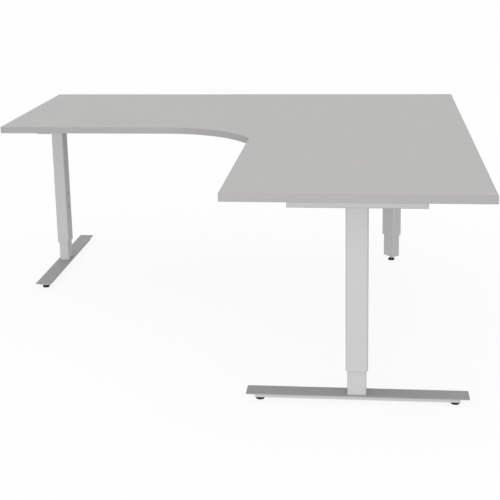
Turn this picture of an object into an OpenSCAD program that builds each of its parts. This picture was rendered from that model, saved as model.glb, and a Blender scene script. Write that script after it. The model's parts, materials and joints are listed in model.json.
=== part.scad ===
// L-shaped height adjustable desk on three telescopic columns.
// Two columns stand on flat T feet, the corner column on a single glide.
// The origin is on the floor, at the centre of the desk's footprint.
// +X is to the right, +Y to the back and +Z up.

/* [Desktop] */
// Width of the desktop, left to right
top_w = 1800; // [1700:10:2000]
// Depth of the desktop, front to back
top_d = 1800; // [1700:10:2000]
// Width of the right wing
right_wing = 800; // [750:10:900]
// Depth of the left wing
left_wing = 800; // [750:10:900]
// Thickness of the board
top_t = 25; // [22:1:30]
// Thickness of the edge band
band_t = 2; // [1:0.5:3]
// Radius of the curved edge between the wings
curve_r = 380; // [300:10:480]
// How far the curve comes forward before it meets the right wing
curve_drop = 200; // [150:10:240]

/* [Height] */
// Height of the desktop's upper face above the floor
desk_h = 720; // [645:5:1060]
// Travel below the height drawn
lift_down = 75; // [0:5:75]
// Travel above the height drawn
lift_up = 340; // [0:10:340]

/* [Leg places] */
// Left leg, from the left end of the desktop
left_leg_side = 84; // [60:1:120]
// Left leg, from the back edge of the desktop
left_leg_back = 310; // [280:5:340]
// Right leg, from the right edge of the desktop
right_leg_side = 400; // [380:5:420]
// Right leg, from the front edge of the desktop
right_leg_front = 183; // [150:1:220]
// Corner leg, from the right edge of the desktop
corner_leg_side = 264; // [240:1:280]
// Corner leg, from the back edge of the desktop
corner_leg_back = 182; // [180:1:200]

/* [Columns] */
// Long side of the outer tube
outer_w = 70; // [66:1:80]
// Short side of the outer tube
outer_t = 50; // [46:1:54]
// Wall of both tubes
tube_wall = 2; // [1.5:0.5:2]
// Gap between the two tubes, filled by the guides
tube_gap = 3; // [2:0.5:3]
// Outside corner radius of the outer tube
outer_r = 6; // [5:0.5:8]
// Lower end of the outer tube above the floor on a T leg
outer_bottom = 109; // [105:1:120]
// Lower end of the outer tube above the floor on the corner leg
corner_outer_bottom = 118; // [110:1:125]

/* [Feet] */
// Length of a foot plate
foot_len = 700; // [600:10:800]
// Width of a foot plate
foot_w = 62; // [60:1:80]
// Thickness of a foot plate
foot_plate_t = 3; // [3:0.5:5]
// Height of a foot plate's upper face
foot_top = 28; // [28:1:34]
// How much shorter the beam is than its plate, at each end
beam_inset = 28; // [10:1:40]
// Width of the beam under the plate
beam_w = 48; // [44:1:56]
// Height of the beam
beam_h = 12; // [12:1:14]
// Lower end of the corner column's inner tube
corner_inner_bottom = 21; // [20:1:24]
// Diameter of a levelling glide
glide_d = 28; // [24:1:32]

/* [Brackets and rails] */
// Length of the bracket on top of a column
bracket_len = 428; // [420:1:440]
// Width of the bracket
bracket_w = 60; // [60:1:64]
// Height of the bracket
bracket_h = 58; // [58:1:60]
// Width of a rail
rail_w = 25; // [20:1:30]
// Height of a rail
rail_h = 40; // [30:1:42]
// Distance of a rail from the middle of its leg, along the bracket
rail_offset = 165; // [160:1:168]

/* [Controls] */
// Length of the control box
box_len = 250; // [200:10:300]
// Depth of the control box
box_d = 100; // [90:5:110]
// Height of the control box
box_h = 44; // [40:1:50]
// Length of the handset
handset_len = 110; // [90:5:130]
// Travel of a handset button
button_travel = 1.5; // [1:0.1:2]

/* [Hidden] */
$fn = 64;
eps = 0.01; // how far a cutting tool runs past a face

// Desktop outline
foot_overhang = max(0, foot_len / 2 - left_leg_back); // the left foot stands out behind the top
back_y = top_d / 2 - foot_overhang / 2;
front_y = back_y - top_d;
left_x = -top_w / 2;
right_x = top_w / 2;
wing_x = right_x - right_wing; // inner edge of the right wing
wing_y = back_y - left_wing; // front edge of the left wing
curve_y = wing_y - curve_r; // centre of the curved edge
curve_x = wing_x - sqrt(curve_r * curve_r - pow(curve_r - curve_drop, 2));

// Heights, from the desktop down
under_z = desk_h - top_t; // underside of the board
bracket_z = under_z - bracket_h; // underside of the brackets
home_h = 720; // the height at which the outer tubes' lower ends are given
rise = desk_h - home_h;
inner_w = outer_w - 2 * tube_wall - 2 * tube_gap;
inner_t = outer_t - 2 * tube_wall - 2 * tube_gap;
inner_r = outer_r - 1;
floor_t = 3; // bracket floor
wall_t = 2.5; // bracket walls
cap_t = 2; // plastic end caps
tab_len = 30; // screw tab at each end of a bracket
drive_z = bracket_z + floor_t; // the gearbox stands on the bracket floor
motor_z = drive_z + 24;
lead_z = under_z - 6;

// Legs: 0 left, 1 right, 2 corner. Local X runs along the bracket and the tubes' long side
LEFT = 0;
RIGHT = 1;
CORNER = 2;
leg_at = [
    [left_x + left_leg_side, back_y - left_leg_back],
    [right_x - right_leg_side, front_y + right_leg_front],
    [right_x - corner_leg_side, back_y - corner_leg_back],
];
leg_turn = [90, 180, -45];
motor_side = [-1, 1, -1];
outer_low = [outer_bottom + rise, outer_bottom + rise, corner_outer_bottom + rise];
inner_low = [foot_top, foot_top, corner_inner_bottom];

// Rails end in plates on the brackets' faces that look towards the seat
rail_y = leg_at[LEFT].y + rail_offset;
rail_x = leg_at[RIGHT].x + rail_offset;
rail_mid_z = bracket_z + 28;
wall_reach = (bracket_w / 2) * sqrt(2); // from the corner leg to its bracket's face, along X or Y
back_rail_end = leg_at[CORNER].x - wall_reach - (rail_y - leg_at[CORNER].y);
side_rail_end = leg_at[CORNER].y - wall_reach - (rail_x - leg_at[CORNER].x);
plate_t = 4;
plate_len = 90;
rail_bolt_gap = 32; // from a rail's middle to each bolt
rail_places = [
    [rail_offset],
    [-rail_offset],
    [(back_rail_end - leg_at[CORNER].x - rail_y + leg_at[CORNER].y) / sqrt(2) - plate_t,
     (rail_x - leg_at[CORNER].x - side_rail_end + leg_at[CORNER].y) / sqrt(2) + plate_t],
];

// Drive
gearbox_l = 54;
gearbox_w = 52;
gearbox_h = 44;
boss_r = 16;
boss_drop = 8; // below the gearbox
motor_r = 23;
motor_len = 115;
spindle_r = 8;
shaft_clear = 0.05;
spindle_up = 35; // top of the spindle above the bracket floor
spindle_top = drive_z + spindle_up;
nut_h = 32;
pad_h = 30;
bush_h = 40;
guide_clear = 0.5;

// Lowered, an inner tube stops just under the gearbox. Raised, the spindle still passes through the nut
home_drive_z = drive_z - rise;
inner_len = home_drive_z - boss_drop - lift_down - 7 - foot_top;
spindle_len = home_drive_z + spindle_up - (corner_inner_bottom + inner_len - nut_h - lift_up - 15);

// Fasteners
bolt_r = 4;
bolt_head_r = 6.5;
bolt_head_h = 5;
bolt_clear = 0.1;
screw_r = 2.5;
screw_head_r = 4.5;
screw_head_h = 3;
screw_deep = 15; // into the board
bracket_screw_x = bracket_len / 2 - 19;
bracket_screw_y = 17;
small_r = 2;
small_head_r = 3.8;
small_head_h = 2.4;
small_deep = 13;
hole_plug_r = 3;
hole_plug_head_r = 4;
hole_plug_head_h = 0.8;
hole_plug_z = [160, 221]; // above the lower end of an outer tube

// Feet and glides
beam_len = foot_len - 2 * beam_inset;
beam_wall = 2.5;
beam_z = foot_top - foot_plate_t - beam_h;
web_z = foot_top - foot_plate_t - beam_wall; // underside of the beam's web
glide_x = beam_len / 2 - 15;
glide_nut_h = 9;
glide_nut_r = 9;
foot_bolt_x = 15;
foot_bolt_len = 21;
plug_h = 20;
corner_plug_h = 24;
pad_low_h = 6; // straight part of a glide's pad
pad_high_h = 8.5;
collar_r = 8;

// Control box and handset
box_x = -25; // left end of the control box
box_y = wing_y + 510; // its front
inlet_y = box_y + 70;
box_flange = 16;
box_screw_in = 8;
box_screw_places = [
    for (x = [box_x + 30, box_x + box_len - 30])
        for (y = [box_y - box_screw_in, box_y + box_d + box_screw_in]) [x, y]
];
handset_x = wing_x + 2; // its front face, just behind the desktop's edge
handset_d = 34;
handset_h = 24;
handset_y = wing_y - 430;
handset_screw_places = [for (s = [-1, 1]) [handset_x + 24, handset_y + s * (handset_len / 2 - 8)]];
button_w = 19.4;
button_h = 10.4;
button_d = 7.5;
button_clear = 0.3;
button_y = 25; // from the handset's middle
button_out = 1.5; // a button stands out of the handset
pocket_d = button_d + button_travel + 1;
lead_r = 3;
lead_out = 45; // a motor lead turns up this far from the column's middle
lead_along = 165;
lead_hole_r = 4;
left_lead_y = box_y + 15;
right_lead_y = box_y + 15;
corner_lead_y = box_y + 70;
handset_lead_x = wing_x + 60;

function leg_point(leg, x, y, z) = [
    leg_at[leg].x + x * cos(leg_turn[leg]) - y * sin(leg_turn[leg]),
    leg_at[leg].y + x * sin(leg_turn[leg]) + y * cos(leg_turn[leg]),
    z
];
function lead_start(leg) = [
    leg_point(leg, motor_side[leg] * (gearbox_l / 2 + motor_len), 0, motor_z),
    leg_point(leg, motor_side[leg] * lead_along, 0, motor_z),
    leg_point(leg, motor_side[leg] * lead_along, -lead_out, motor_z),
    leg_point(leg, motor_side[leg] * lead_along, -lead_out, lead_z),
];
left_turn = lead_start(LEFT)[3];
right_turn = lead_start(RIGHT)[3];
corner_turn = lead_start(CORNER)[3];
left_route = concat(lead_start(LEFT), [[left_turn.x, left_lead_y, lead_z], [box_x, left_lead_y, lead_z]]);
right_route = concat(lead_start(RIGHT),
    [[right_turn.x, right_lead_y, lead_z], [box_x + box_len, right_lead_y, lead_z]]);
corner_route = concat(lead_start(CORNER),
    [[corner_turn.x, corner_lead_y, lead_z], [box_x + box_len, corner_lead_y, lead_z]]);
handset_route = [
    [handset_x + handset_d, handset_y, lead_z],
    [handset_lead_x, handset_y, lead_z],
    [handset_lead_x, box_y, lead_z],
];
clips_along_x = [
    for (x = [-600, -350, -100]) [x, left_lead_y],
    [400, corner_lead_y],
];
clips_along_y = [
    [left_turn.x, wing_y + 420],
    for (y = [-500, -150, 200, 500]) [right_turn.x, y],
    [corner_turn.x, corner_lead_y + 25],
    for (y = [-200, 100, 400]) [handset_lead_x, y],
];

// ---- shapes used more than once ----

module place_leg(leg) {
    translate([leg_at[leg].x, leg_at[leg].y, 0]) rotate([0, 0, leg_turn[leg]]) children();
}

module rounded_rect(w, d, r) {
    square([w - 2 * r, d], center = true);
    square([w, d - 2 * r], center = true);
    for (x = [-1, 1]) for (y = [-1, 1])
        translate([x * (w / 2 - r), y * (d / 2 - r)]) circle(r);
}

module rounded_block(w, d, h, r) {
    linear_extrude(h) rounded_rect(w, d, r);
}

module tube(w, d, r, wall, h) {
    linear_extrude(h) difference() {
        rounded_rect(w, d, r);
        rounded_rect(w - 2 * wall, d - 2 * wall, r - wall);
    }
}

// The desktop's outline, drawn in by a distance all round
module top_outline(inset) {
    edge_x = wing_x + inset;
    difference() {
        translate([left_x + inset, front_y + inset]) square([top_w - 2 * inset, top_d - 2 * inset]);
        intersection() {
            union() {
                translate([curve_x, curve_y]) circle(curve_r + inset, $fn = 180);
                translate([left_x - 1, front_y - 1])
                    square([curve_x - left_x + 1, wing_y + inset - front_y + 1]);
                translate([left_x - 1, front_y - 1]) square([top_w, curve_y - front_y + 1]);
            }
            translate([left_x - 2, front_y - 2]) square([edge_x - left_x + 2, top_d]);
        }
    }
}

// A lead: straight runs with a slightly larger ball at each turn
module lead(route) {
    for (i = [0 : len(route) - 2]) {
        step = route[i + 1] - route[i];
        run = norm(step);
        translate(route[i])
            rotate([0, acos(step.z / run), atan2(step.y, step.x)]) cylinder(h = run, r = lead_r, $fn = 24);
    }
    for (i = [1 : len(route) - 2]) translate(route[i]) sphere(lead_r + 0.2, $fn = 24);
}

// Pilot holes for screws that go up into the board
module board_holes(places, r, deep) {
    for (p = places) translate([p.x, p.y, under_z - eps]) cylinder(h = deep + 0.5, r = r + 0.05);
}

// ---- the top ----

module desk_top() {
    color("#BCBCBA") difference() {
        translate([0, 0, under_z]) linear_extrude(top_t) top_outline(band_t);
        for (leg = [LEFT, RIGHT, CORNER]) place_leg(leg)
            board_holes(bracket_screw_places(), screw_r, screw_deep);
        board_holes(concat(box_screw_places, handset_screw_places), small_r, small_deep);
    }
}

module edge_band() {
    color("#B2B2B0") translate([0, 0, under_z]) linear_extrude(top_t) difference() {
        top_outline(0);
        top_outline(band_t);
    }
}

// ---- brackets and rails ----

function bracket_screw_places() =
    [for (x = [-1, 1]) for (y = [-1, 1]) [x * bracket_screw_x, y * bracket_screw_y]];

// A channel, open towards the board, with a screw tab across each end
module bracket(leg) {
    body_len = bracket_len - 2 * cap_t;
    inside = bracket_w - 2 * wall_t;
    place_leg(leg) translate([0, 0, bracket_z]) difference() {
        translate([-body_len / 2, -bracket_w / 2, 0]) cube([body_len, bracket_w, bracket_h]);
        translate([-body_len / 2 - 1, -inside / 2, floor_t])
            cube([body_len + 2, inside, bracket_h - floor_t - wall_t]);
        translate([-body_len / 2 + tab_len, -inside / 2, floor_t])
            cube([body_len - 2 * tab_len, inside, bracket_h]);
        translate([0, 0, -1]) cylinder(h = floor_t + 2, r = boss_r + 0.5);
        for (p = bracket_screw_places()) translate([p.x, p.y, 0]) {
            translate([0, 0, -1]) cylinder(h = floor_t + 2, r = 6.5);
            translate([0, 0, bracket_h - wall_t - 1]) cylinder(h = wall_t + 2, r = screw_r + 0.2);
        }
        for (x = rail_places[leg]) for (s = [-1, 1])
            translate([x + s * rail_bolt_gap, -bracket_w / 2 - 1, rail_mid_z - bracket_z])
                rotate([-90, 0, 0]) cylinder(h = wall_t + 2, r = bolt_r + bolt_clear);
        translate([motor_side[leg] * lead_along, -bracket_w / 2 - 1, motor_z - bracket_z])
            rotate([-90, 0, 0]) cylinder(h = wall_t + 2, r = lead_hole_r);
    }
}

module left_bracket() { color("#C6C6C6") bracket(LEFT); }
module right_bracket() { color("#C6C6C6") bracket(RIGHT); }
module corner_bracket() { color("#C6C6C6") bracket(CORNER); }

module bracket_end_caps() {
    color("#BEBEBE") for (leg = [LEFT, RIGHT, CORNER]) place_leg(leg) for (s = [-1, 1])
        translate([s * (bracket_len / 2 - cap_t / 2), 0, bracket_z + bracket_h / 2])
            cube([cap_t, bracket_w, bracket_h], center = true);
}

module bracket_screws() {
    color("silver") for (leg = [LEFT, RIGHT, CORNER]) place_leg(leg) for (p = bracket_screw_places())
        translate([p.x, p.y, under_z - wall_t]) {
            translate([0, 0, -screw_head_h]) cylinder(h = screw_head_h, r = screw_head_r);
            cylinder(h = wall_t + screw_deep, r = screw_r);
        }
}

module rail_tube(length) {
    translate([0, 0, rail_mid_z]) rotate([90, 0, 90]) tube(rail_w, rail_h, 3, 2, length);
}

// The plate at a rail's end, in its leg's own frame
module rail_plate(leg, x) {
    place_leg(leg) difference() {
        translate([x, -bracket_w / 2 - plate_t / 2, rail_mid_z])
            cube([plate_len, plate_t, rail_h + 4], center = true);
        for (s = [-1, 1]) translate([x + s * rail_bolt_gap, -bracket_w / 2 - plate_t - 1, rail_mid_z])
            rotate([-90, 0, 0]) cylinder(h = plate_t + 2, r = bolt_r + bolt_clear);
    }
}

// Everything behind the corner bracket's face, less the plate
module behind_corner_plate() {
    place_leg(CORNER) translate([-400, -bracket_w / 2 - plate_t, bracket_z - 50]) cube([800, 400, 200]);
}

module back_rail() {
    start_x = leg_at[LEFT].x + bracket_w / 2 + plate_t;
    color("#C4C4C4") {
        difference() {
            translate([start_x, rail_y, 0]) rail_tube(back_rail_end - start_x + 60);
            behind_corner_plate();
        }
        rail_plate(LEFT, rail_places[LEFT][0]);
        rail_plate(CORNER, rail_places[CORNER][0]);
    }
}

module side_rail() {
    start_y = leg_at[RIGHT].y + bracket_w / 2 + plate_t;
    color("#C4C4C4") {
        difference() {
            translate([rail_x, start_y, 0]) rotate([0, 0, 90]) rail_tube(side_rail_end - start_y + 60);
            behind_corner_plate();
        }
        rail_plate(RIGHT, rail_places[RIGHT][0]);
        rail_plate(CORNER, rail_places[CORNER][1]);
    }
}

module rail_bolts() {
    color("silver") for (leg = [LEFT, RIGHT, CORNER]) for (x = rail_places[leg]) for (s = [-1, 1])
        place_leg(leg) translate([x + s * rail_bolt_gap, -bracket_w / 2 - plate_t, rail_mid_z])
            rotate([-90, 0, 0]) {
                translate([0, 0, -bolt_head_h]) cylinder(h = bolt_head_h, r = bolt_head_r);
                cylinder(h = plate_t + wall_t + 1, r = bolt_r);
            }
}

// ---- columns, upper half ----

module outer_tube(leg) {
    low = outer_low[leg];
    place_leg(leg) difference() {
        translate([0, 0, low]) tube(outer_w, outer_t, outer_r, tube_wall, bracket_z - low);
        for (z = hole_plug_z) translate([0, -outer_t / 2 - 1, low + z])
            rotate([-90, 0, 0]) cylinder(h = tube_wall + 2, r = hole_plug_r);
    }
}

module left_outer_tube() { color("#C9C9C9") outer_tube(LEFT); }
module right_outer_tube() { color("#C9C9C9") outer_tube(RIGHT); }
module corner_outer_tube() { color("#C9C9C9") outer_tube(CORNER); }

// Plastic plugs that close the two assembly holes in each outer tube's wall
module hole_plugs() {
    color("#555555") for (leg = [LEFT, RIGHT, CORNER]) place_leg(leg) for (z = hole_plug_z)
        translate([0, -outer_t / 2, outer_low[leg] + z]) rotate([-90, 0, 0]) {
            cylinder(h = tube_wall, r = hole_plug_r);
            translate([0, 0, -hole_plug_head_h]) cylinder(h = hole_plug_head_h, r = hole_plug_head_r);
        }
}

module guide_bush(leg) {
    clear = tube_gap - guide_clear;
    place_leg(leg) translate([0, 0, outer_low[leg]])
        tube(outer_w - 2 * tube_wall, outer_t - 2 * tube_wall, outer_r - tube_wall, clear, bush_h);
}

module left_guide_bush() { color("#303030") guide_bush(LEFT); }
module right_guide_bush() { color("#303030") guide_bush(RIGHT); }
module corner_guide_bush() { color("#303030") guide_bush(CORNER); }

module gearbox(leg) {
    place_leg(leg) difference() {
        union() {
            translate([0, 0, drive_z]) rounded_block(gearbox_l, gearbox_w, gearbox_h, 5);
            translate([0, 0, drive_z - boss_drop]) cylinder(h = boss_drop + 1, r = boss_r);
        }
        translate([0, 0, drive_z - boss_drop - 1])
            cylinder(h = spindle_top - drive_z + boss_drop + 1.5, r = spindle_r + shaft_clear);
    }
}

module left_gearbox() { color("#8A8A8A") gearbox(LEFT); }
module right_gearbox() { color("#8A8A8A") gearbox(RIGHT); }
module corner_gearbox() { color("#8A8A8A") gearbox(CORNER); }

module motor(leg) {
    place_leg(leg) translate([motor_side[leg] * gearbox_l / 2, 0, motor_z])
        rotate([0, motor_side[leg] * 90, 0]) {
            cylinder(h = motor_len - 10, r = motor_r);
            cylinder(h = motor_len, r = motor_r - 4);
        }
}

module left_motor() { color("#4A4A4A") motor(LEFT); }
module right_motor() { color("#4A4A4A") motor(RIGHT); }
module corner_motor() { color("#4A4A4A") motor(CORNER); }

module spindle(leg) {
    place_leg(leg) translate([0, 0, spindle_top - spindle_len]) cylinder(h = spindle_len, r = spindle_r);
}

module left_spindle() { color("silver") spindle(LEFT); }
module right_spindle() { color("silver") spindle(RIGHT); }
module corner_spindle() { color("silver") spindle(CORNER); }

// ---- columns, lower half ----

module inner_tube(leg) {
    place_leg(leg) translate([0, 0, inner_low[leg]]) tube(inner_w, inner_t, inner_r, tube_wall, inner_len);
}

module left_inner_tube() { color("#C9C9C9") inner_tube(LEFT); }
module right_inner_tube() { color("#C9C9C9") inner_tube(RIGHT); }
module corner_inner_tube() { color("#C9C9C9") inner_tube(CORNER); }

module inside_inner_tube(h) {
    rounded_block(inner_w - 2 * tube_wall, inner_t - 2 * tube_wall, h, inner_r - tube_wall);
}

module spindle_nut(leg) {
    place_leg(leg) translate([0, 0, inner_low[leg] + inner_len - nut_h]) difference() {
        inside_inner_tube(nut_h);
        translate([0, 0, -1]) cylinder(h = nut_h + 2, r = spindle_r + shaft_clear);
    }
}

module left_spindle_nut() { color("ivory") spindle_nut(LEFT); }
module right_spindle_nut() { color("ivory") spindle_nut(RIGHT); }
module corner_spindle_nut() { color("ivory") spindle_nut(CORNER); }

module slide_pad(leg) {
    clear = tube_gap - guide_clear;
    place_leg(leg) translate([0, 0, inner_low[leg] + inner_len - pad_h])
        tube(inner_w + 2 * clear, inner_t + 2 * clear, inner_r + clear, clear, pad_h);
}

module left_slide_pad() { color("#303030") slide_pad(LEFT); }
module right_slide_pad() { color("#303030") slide_pad(RIGHT); }
module corner_slide_pad() { color("#303030") slide_pad(CORNER); }

// Tapped for the two foot bolts
module tube_plug(leg) {
    place_leg(leg) translate([0, 0, inner_low[leg]]) difference() {
        inside_inner_tube(plug_h);
        for (s = [-1, 1]) translate([s * foot_bolt_x, 0, -1])
            cylinder(h = foot_bolt_len, r = bolt_r + bolt_clear);
    }
}

module left_tube_plug() { color("#707070") tube_plug(LEFT); }
module right_tube_plug() { color("#707070") tube_plug(RIGHT); }

// Tapped for the glide's stud
module corner_tube_plug() {
    color("#707070") place_leg(CORNER) translate([0, 0, corner_inner_bottom]) difference() {
        inside_inner_tube(corner_plug_h);
        translate([0, 0, -1]) cylinder(h = corner_plug_h + 2, r = bolt_r + bolt_clear);
    }
}

// ---- feet ----

module foot_plate(leg) {
    place_leg(leg) translate([0, 0, foot_top - foot_plate_t]) difference() {
        rounded_block(foot_len, foot_w, foot_plate_t, 2);
        for (s = [-1, 1]) translate([s * foot_bolt_x, 0, -1])
            cylinder(h = foot_plate_t + 2, r = bolt_r + 0.3);
    }
}

module left_foot_plate() { color("#8C8C8C") foot_plate(LEFT); }
module right_foot_plate() { color("#8C8C8C") foot_plate(RIGHT); }

// A shallow channel, open below
module foot_beam(leg) {
    place_leg(leg) translate([0, 0, beam_z]) difference() {
        translate([-beam_len / 2, -beam_w / 2, 0]) cube([beam_len, beam_w, beam_h]);
        translate([-beam_len / 2 + beam_wall, -beam_w / 2 + beam_wall, -1])
            cube([beam_len - 2 * beam_wall, beam_w - 2 * beam_wall, beam_h - beam_wall + 1]);
        for (s = [-1, 1]) {
            translate([s * foot_bolt_x, 0, 0]) cylinder(h = beam_h + 1, r = bolt_r + 0.3);
            translate([s * glide_x, 0, 0]) cylinder(h = beam_h + 1, r = bolt_r + 0.6);
        }
    }
}

module left_foot_beam() { color("#CDCDCD") foot_beam(LEFT); }
module right_foot_beam() { color("#CDCDCD") foot_beam(RIGHT); }

module foot_bolts(leg) {
    place_leg(leg) for (s = [-1, 1]) translate([s * foot_bolt_x, 0, web_z]) {
        translate([0, 0, -bolt_head_h]) cylinder(h = bolt_head_h, r = bolt_head_r);
        cylinder(h = foot_bolt_len, r = bolt_r);
    }
}

module left_foot_bolts() { color("silver") foot_bolts(LEFT); }
module right_foot_bolts() { color("silver") foot_bolts(RIGHT); }

module glide_nuts(leg) {
    place_leg(leg) for (s = [-1, 1]) translate([s * glide_x, 0, web_z - glide_nut_h]) difference() {
        cylinder(h = glide_nut_h, r = glide_nut_r, $fn = 6);
        translate([0, 0, -1]) cylinder(h = glide_nut_h + 2, r = bolt_r + bolt_clear);
    }
}

module left_glide_nuts() { color("silver") glide_nuts(LEFT); }
module right_glide_nuts() { color("silver") glide_nuts(RIGHT); }

// Pad, steel collar and threaded stud
module glide(leg, x, stud_top) {
    r = glide_d / 2;
    place_leg(leg) translate([x, 0, 0]) {
        cylinder(h = pad_low_h, r = r);
        translate([0, 0, pad_low_h]) cylinder(h = pad_high_h - pad_low_h, r1 = r, r2 = r - 3);
        translate([0, 0, pad_high_h]) cylinder(h = 3, r = collar_r);
        translate([0, 0, pad_high_h]) cylinder(h = stud_top - pad_high_h, r = bolt_r);
    }
}

foot_stud_top = foot_top - foot_plate_t - 0.5;
corner_stud_top = corner_inner_bottom + corner_plug_h - 5;

module left_front_glide() { color("#202020") glide(LEFT, -glide_x, foot_stud_top); }
module left_back_glide() { color("#202020") glide(LEFT, glide_x, foot_stud_top); }
module right_inner_glide() { color("#202020") glide(RIGHT, glide_x, foot_stud_top); }
module right_outer_glide() { color("#202020") glide(RIGHT, -glide_x, foot_stud_top); }
module corner_glide() { color("#202020") glide(CORNER, 0, corner_stud_top); }

// ---- controls ----

inlet_w = 30;
inlet_h = 24;
inlet_deep = 15;

module control_box() {
    mid = [box_x + box_len / 2, box_y + box_d / 2];
    color("#2A2A2A") difference() {
        union() {
            translate([mid.x, mid.y, under_z - box_h]) rounded_block(box_len, box_d, box_h, 5);
            for (x = [box_x + 30, box_x + box_len - 30])
                translate([x, mid.y, under_z - 3])
                    linear_extrude(3) square([24, box_d + 2 * box_flange], center = true);
        }
        translate([box_x - 1, inlet_y - inlet_w / 2, under_z - 22 - inlet_h / 2])
            cube([inlet_deep + 1, inlet_w, inlet_h]);
        for (p = box_screw_places) translate([p.x, p.y, under_z - 4]) cylinder(h = 5, r = small_r + 0.2);
    }
}

// A three-pin appliance inlet in the end of the control box
module mains_inlet() {
    fit = 0.2;
    color("#181818") translate([box_x, inlet_y, under_z - 22]) {
        difference() {
            union() {
                translate([0, -inlet_w / 2 + fit, -inlet_h / 2 + fit])
                    cube([inlet_deep - fit, inlet_w - 2 * fit, inlet_h - 2 * fit]);
                translate([-2, -22, -15]) cube([2, 44, 30]);
            }
            translate([-3, -12, -8.5]) cube([inlet_deep + 0.5, 24, 17]);
        }
        for (y = [-7, 0, 7]) translate([1, y - 1, y == 0 ? 0 : -3]) cube([inlet_deep - 2, 2, 4]);
    }
}

module handset_housing() {
    color("#242424") difference() {
        translate([handset_x + handset_d / 2, handset_y, under_z - handset_h])
            rounded_block(handset_d, handset_len, handset_h, 4);
        for (s = [-1, 1]) translate([handset_x - 1, handset_y + s * button_y, under_z - handset_h / 2])
            translate([0, -button_w / 2 - button_clear, -button_h / 2 - button_clear])
                cube([pocket_d + 1, button_w + 2 * button_clear, button_h + 2 * button_clear]);
        for (p = handset_screw_places) translate([p.x, p.y, under_z - handset_h - 1]) {
            cylinder(h = handset_h + 2, r = small_r + 0.2);
            cylinder(h = handset_h - 3, r = small_head_r + 0.4);
        }
    }
}

module button(side) {
    color("#3A3A3A") translate([handset_x - button_out, handset_y + side * button_y, under_z - handset_h / 2])
        translate([0, -button_w / 2, -button_h / 2]) cube([button_out + button_d, button_w, button_h]);
}

module up_button() { button(1); }
module down_button() { button(-1); }

// Pan-head screws that hold the control box and the handset
module accessory_screws() {
    color("silver") for (i = [0 : 1]) {
        places = i == 0 ? box_screw_places : handset_screw_places;
        drop = i == 0 ? 3 : 4; // thickness that the screw holds
        for (p = places) translate([p.x, p.y, under_z - drop]) {
            translate([0, 0, -small_head_h]) cylinder(h = small_head_h, r = small_head_r);
            cylinder(h = drop + small_deep, r = small_r);
        }
    }
}

module motor_leads() {
    color("#1C1C1C") {
        lead(left_route);
        lead(right_route);
        lead(corner_route);
    }
}

module handset_lead() { color("#1C1C1C") lead(handset_route); }

module clip(place, turn) {
    translate([place.x, place.y, 0]) rotate([0, 0, turn]) difference() {
        translate([-6, -9, lead_z - lead_r - 2]) cube([12, 18, under_z - lead_z + lead_r + 2]);
        translate([-7, 0, lead_z]) rotate([0, 90, 0]) cylinder(h = 14, r = lead_r + 0.05, $fn = 24);
    }
}

module lead_clips() {
    color("#1C1C1C") {
        for (p = clips_along_x) clip(p, 0);
        for (p = clips_along_y) clip(p, 90);
    }
}

desk_top();
edge_band();
left_bracket();
right_bracket();
corner_bracket();
bracket_end_caps();
bracket_screws();
back_rail();
side_rail();
rail_bolts();
left_outer_tube();
right_outer_tube();
corner_outer_tube();
hole_plugs();
left_guide_bush();
right_guide_bush();
corner_guide_bush();
left_gearbox();
right_gearbox();
corner_gearbox();
left_motor();
right_motor();
corner_motor();
control_box();
mains_inlet();
accessory_screws();
motor_leads();
handset_lead();
lead_clips();
handset_housing();
up_button();
down_button();
left_spindle();
right_spindle();
corner_spindle();
left_inner_tube();
right_inner_tube();
corner_inner_tube();
left_spindle_nut();
right_spindle_nut();
corner_spindle_nut();
left_slide_pad();
right_slide_pad();
corner_slide_pad();
left_tube_plug();
right_tube_plug();
corner_tube_plug();
left_foot_plate();
right_foot_plate();
left_foot_beam();
right_foot_beam();
left_foot_bolts();
right_foot_bolts();
left_glide_nuts();
right_glide_nuts();
left_front_glide();
left_back_glide();
right_inner_glide();
right_outer_glide();
corner_glide();
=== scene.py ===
"""Looks of an L-shaped sit-stand desk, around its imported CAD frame. Metres, +Z up, the user at -Y."""

import json
import math

import bmesh
import bpy
from mathutils import Matrix, Vector

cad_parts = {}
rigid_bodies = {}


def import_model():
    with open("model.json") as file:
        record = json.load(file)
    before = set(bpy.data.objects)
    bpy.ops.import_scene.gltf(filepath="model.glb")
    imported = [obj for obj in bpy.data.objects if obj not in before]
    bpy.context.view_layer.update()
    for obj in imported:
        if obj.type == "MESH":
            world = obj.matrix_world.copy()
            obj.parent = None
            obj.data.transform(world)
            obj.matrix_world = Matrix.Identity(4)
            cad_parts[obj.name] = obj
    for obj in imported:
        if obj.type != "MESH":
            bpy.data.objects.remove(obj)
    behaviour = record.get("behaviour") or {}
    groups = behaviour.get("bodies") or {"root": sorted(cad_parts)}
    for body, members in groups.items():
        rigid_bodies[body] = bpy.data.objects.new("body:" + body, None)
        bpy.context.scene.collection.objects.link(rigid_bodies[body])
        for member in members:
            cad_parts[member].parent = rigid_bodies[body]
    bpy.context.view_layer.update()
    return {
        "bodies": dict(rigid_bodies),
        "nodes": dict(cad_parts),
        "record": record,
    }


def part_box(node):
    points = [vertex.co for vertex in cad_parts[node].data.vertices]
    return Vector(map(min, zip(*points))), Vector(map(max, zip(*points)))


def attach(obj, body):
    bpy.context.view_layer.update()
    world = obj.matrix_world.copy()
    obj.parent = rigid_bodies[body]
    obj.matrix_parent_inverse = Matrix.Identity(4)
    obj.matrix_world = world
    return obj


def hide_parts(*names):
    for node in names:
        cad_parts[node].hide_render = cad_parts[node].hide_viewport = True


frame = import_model()
NODES = frame["nodes"]
MM = 0.001
RING = 48  # points round a turned piece

# Turn of each leg about Z, in degrees, and the side of its column that the motor lies on
LEG_TURN = {"left": 90, "right": 180, "corner": -45}
MOTOR_SIDE = {"left": -1, "right": 1, "corner": -1}
T_LEGS = ("left", "right")
LEG_REACH = 300 * MM  # what lies nearer than this to a column belongs to its leg

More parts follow.
